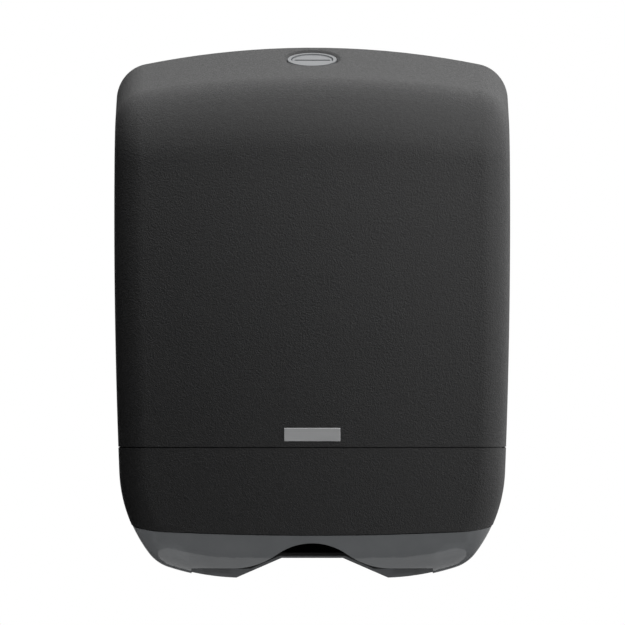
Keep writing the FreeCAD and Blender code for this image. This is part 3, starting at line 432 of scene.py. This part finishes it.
def plunger_spring():
    """A copy of the spring in drawn steel, which takes the place of the CAD spring."""
    spring = bpy.data.objects.new("plunger_spring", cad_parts["lock_spring"].data.copy())
    bpy.context.scene.collection.objects.link(spring)
    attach(spring, "cover")
    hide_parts("lock_spring")
    dress_piece(spring, DRAWN_STEEL)
    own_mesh(spring)


plunger_spring()

# Floor and backdrop
# The pale floor 1.2 m under the dispenser, which hangs on a wall that isn't shown. It takes the soft
# shadow and fades into the white background towards its edge, as a studio sweep does.
FLOOR_Z = -1.4
FLOOR_R = 1.3
FLOOR_CORNERS = 64
FADE_START = 0.3
FADE_END = 0.9 * FLOOR_R
floor_mesh = bpy.data.meshes.new("floor")
turns = [2 * math.pi * i / FLOOR_CORNERS for i in range(FLOOR_CORNERS)]
rim = [(FLOOR_R * math.cos(a), FLOOR_R * math.sin(a), FLOOR_Z) for a in turns]
floor_mesh.from_pydata(rim, [], [range(FLOOR_CORNERS)])
floor = bpy.data.objects.new("floor", floor_mesh)
bpy.context.scene.collection.objects.link(floor)
sweep, tree, output, place = new_material("studio_sweep")
distance = add(tree, "ShaderNodeVectorMath", {0: place, 1: (0.0, 0.0, FLOOR_Z)}, operation="DISTANCE")
fade = add(tree, "ShaderNodeMapRange", {
    "Value": distance.outputs["Value"], "From Min": FADE_START, "From Max": FADE_END,
}, interpolation_type="SMOOTHSTEP")
ray = add(tree, "ShaderNodeLightPath")
looked_at = add(tree, "ShaderNodeMath", {
    0: ray.outputs["Is Camera Ray"], 1: ray.outputs["Is Transmission Ray"],
}, operation="MAXIMUM")
fade = add(tree, "ShaderNodeMath", {0: fade, 1: looked_at}, operation="MULTIPLY")
paper = add(tree, "ShaderNodeBsdfDiffuse", {"Color": linear("#f0f0f0")})
white = add(tree, "ShaderNodeEmission", {"Color": (1, 1, 1, 1), "Strength": 1.0})
blend = add(tree, "ShaderNodeMixShader", {
    0: fade, 1: paper, 2: white,
})
tree.links.new(blend.outputs["Shader"], output.inputs["Surface"])
floor_mesh.materials.append(sweep)

# Light
# Plain soft studio light: a large softbox high on the right and a weaker one on the left. The camera
# and glass see a white surround. What gloss mirrors grows brighter towards the upper right, as a lit
# studio wall does, and dims straight behind the dispenser.
LIT_FROM = Vector((0.57, 0.0, 0.82))
WALL_LIT = 1.5
BEHIND_LIT = 0.35
DIFFUSE_LIT = 0.55
world = bpy.data.worlds.new("studio")
bpy.context.scene.world = world
world.use_nodes = True
tree = world.node_tree
tree.nodes.clear()
ray = add(tree, "ShaderNodeLightPath")
aim = add(tree, "ShaderNodeTexCoord").outputs["Generated"]
axes = add(tree, "ShaderNodeSeparateXYZ", {0: aim})
behind = add(tree, "ShaderNodeMapRange", {
    "Value": axes.outputs["Y"], "From Min": 0.88, "From Max": 0.98, "To Min": 0.0, "To Max": 1.0,
}, interpolation_type="SMOOTHSTEP")
slant = add(tree, "ShaderNodeVectorMath", {0: aim, 1: LIT_FROM}, operation="DOT_PRODUCT")
rising = add(tree, "ShaderNodeMapRange", {
    "Value": slant.outputs["Value"], "From Min": -0.08, "From Max": 0.5, "To Min": 0.0,
    "To Max": WALL_LIT,
})
room = add(tree, "ShaderNodeMix", {
    "Factor": behind, "A": rising, "B": BEHIND_LIT,
}, data_type="FLOAT")
seen = add(tree, "ShaderNodeMath", {
    0: ray.outputs["Is Camera Ray"], 1: ray.outputs["Is Transmission Ray"],
}, operation="MAXIMUM")
level = add(tree, "ShaderNodeMix", {
    "Factor": seen, "A": room, "B": 1.0,
}, data_type="FLOAT")
strength = add(tree, "ShaderNodeMix", {
    "Factor": ray.outputs["Is Diffuse Ray"], "A": level, "B": DIFFUSE_LIT,
}, data_type="FLOAT")
glow = add(tree, "ShaderNodeBackground", {
    "Color": (1, 1, 1, 1), "Strength": strength,
})
surround = add(tree, "ShaderNodeOutputWorld")
tree.links.new(glow.outputs["Background"], surround.inputs["Surface"])


def softbox(name, place, size, power):
    """A square lamp at that place in metres, aimed at the dispenser."""
    lamp = bpy.data.lights.new(name, "AREA")
    lamp.shape = "SQUARE"
    lamp.size = size
    lamp.energy = power
    box = bpy.data.objects.new(name, lamp)
    box.location = place
    box.rotation_euler = (-Vector(place)).to_track_quat("-Z", "Y").to_euler()
    bpy.context.scene.collection.objects.link(box)


softbox("softbox_right", (2.3, -1.2, 2.0), 1.4, 16.0)
softbox("softbox_left", (-2.6, -0.3, 1.2), 1.2, 3.0)

# Camera
# A long lens 12 m in front, level with the middle of the dispenser, so that it is seen straight on.
# The scale holds in the wall's plane, where the outline's top and foot lie.
CAMERA_DISTANCE = 12.0
SENSOR = 36.0
VIEW_END = 50.0
PHOTO_PX = 625
MM_PER_PX = 0.738
PHOTO_MIDDLE = (312.2, 312.3)
low, high = CAD_BOX
middle_x = (PHOTO_PX / 2 - PHOTO_MIDDLE[0]) * MM_PER_PX * MM
middle_z = (low[2] + high[2]) / 2 - (PHOTO_PX / 2 - PHOTO_MIDDLE[1]) * MM_PER_PX * MM
lens = bpy.data.cameras.new("camera")
lens.sensor_width = SENSOR
lens.lens = SENSOR * CAMERA_DISTANCE / (PHOTO_PX * MM_PER_PX * MM)
lens.clip_end = VIEW_END
camera = bpy.data.objects.new("camera", lens)
camera.location = (middle_x, -CAMERA_DISTANCE, middle_z)
camera.rotation_euler = (math.radians(90), 0.0, 0.0)
bpy.context.scene.collection.objects.link(camera)
bpy.context.scene.camera = camera
bpy.context.scene.view_settings.view_transform = "Standard"
